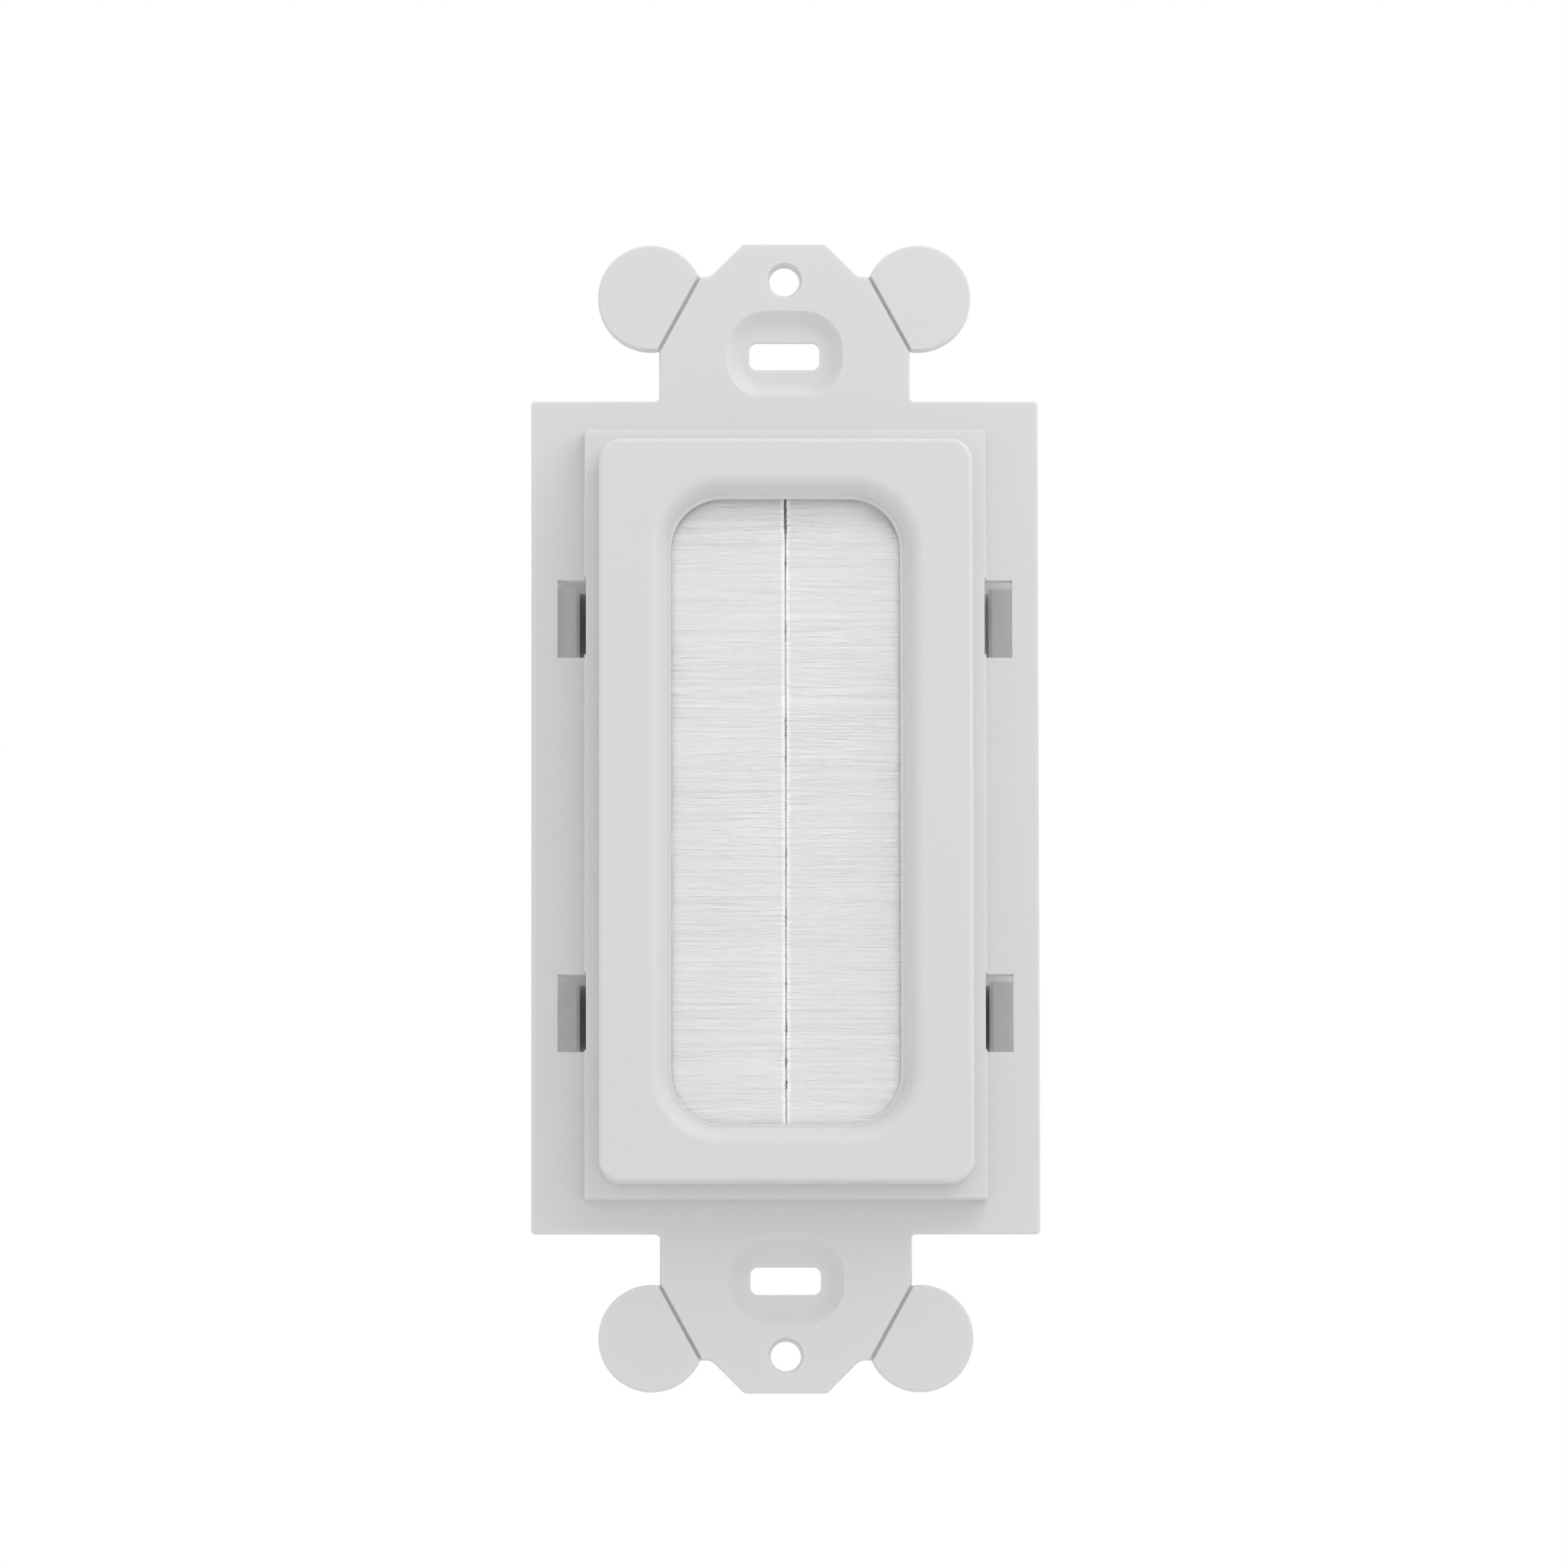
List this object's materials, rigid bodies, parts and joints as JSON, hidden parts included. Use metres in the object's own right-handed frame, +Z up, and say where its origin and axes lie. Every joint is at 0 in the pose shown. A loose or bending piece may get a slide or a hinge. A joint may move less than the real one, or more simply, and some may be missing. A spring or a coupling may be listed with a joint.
{
  "type": "brush wall plate",
  "caption": "Rectangular wall plate insert with a rounded cable opening closed by two facing strips of fine bristles, on a mounting strap with break-off ears.",
  "frame": {"origin": "on the strap's rear plane, halfway between the two cover screw holes", "axes": "+X to the right, +Z up, the front of the plate looks along -Y"},
  "size_m": [0.0454, 0.0213, 0.1034],
  "materials": {
    "front_moulding": "fine moulded satin, light grey-white",
    "rear_moulding": "plain moulded, light grey-white",
    "channel_metal": "mill",
    "core_wire": "drawn wire",
    "filaments": "fine clear-white nylon filaments"
  },
  "bodies": {
    "root": {"front_plate": "front_moulding", "rear_retainer": "rear_moulding", "left_channel": "channel_metal", "right_channel": "channel_metal", "left_core_wire": "core_wire", "right_core_wire": "core_wire", "left_bristles": "filaments", "right_bristles": "filaments"}
  },
  "joints": []
}
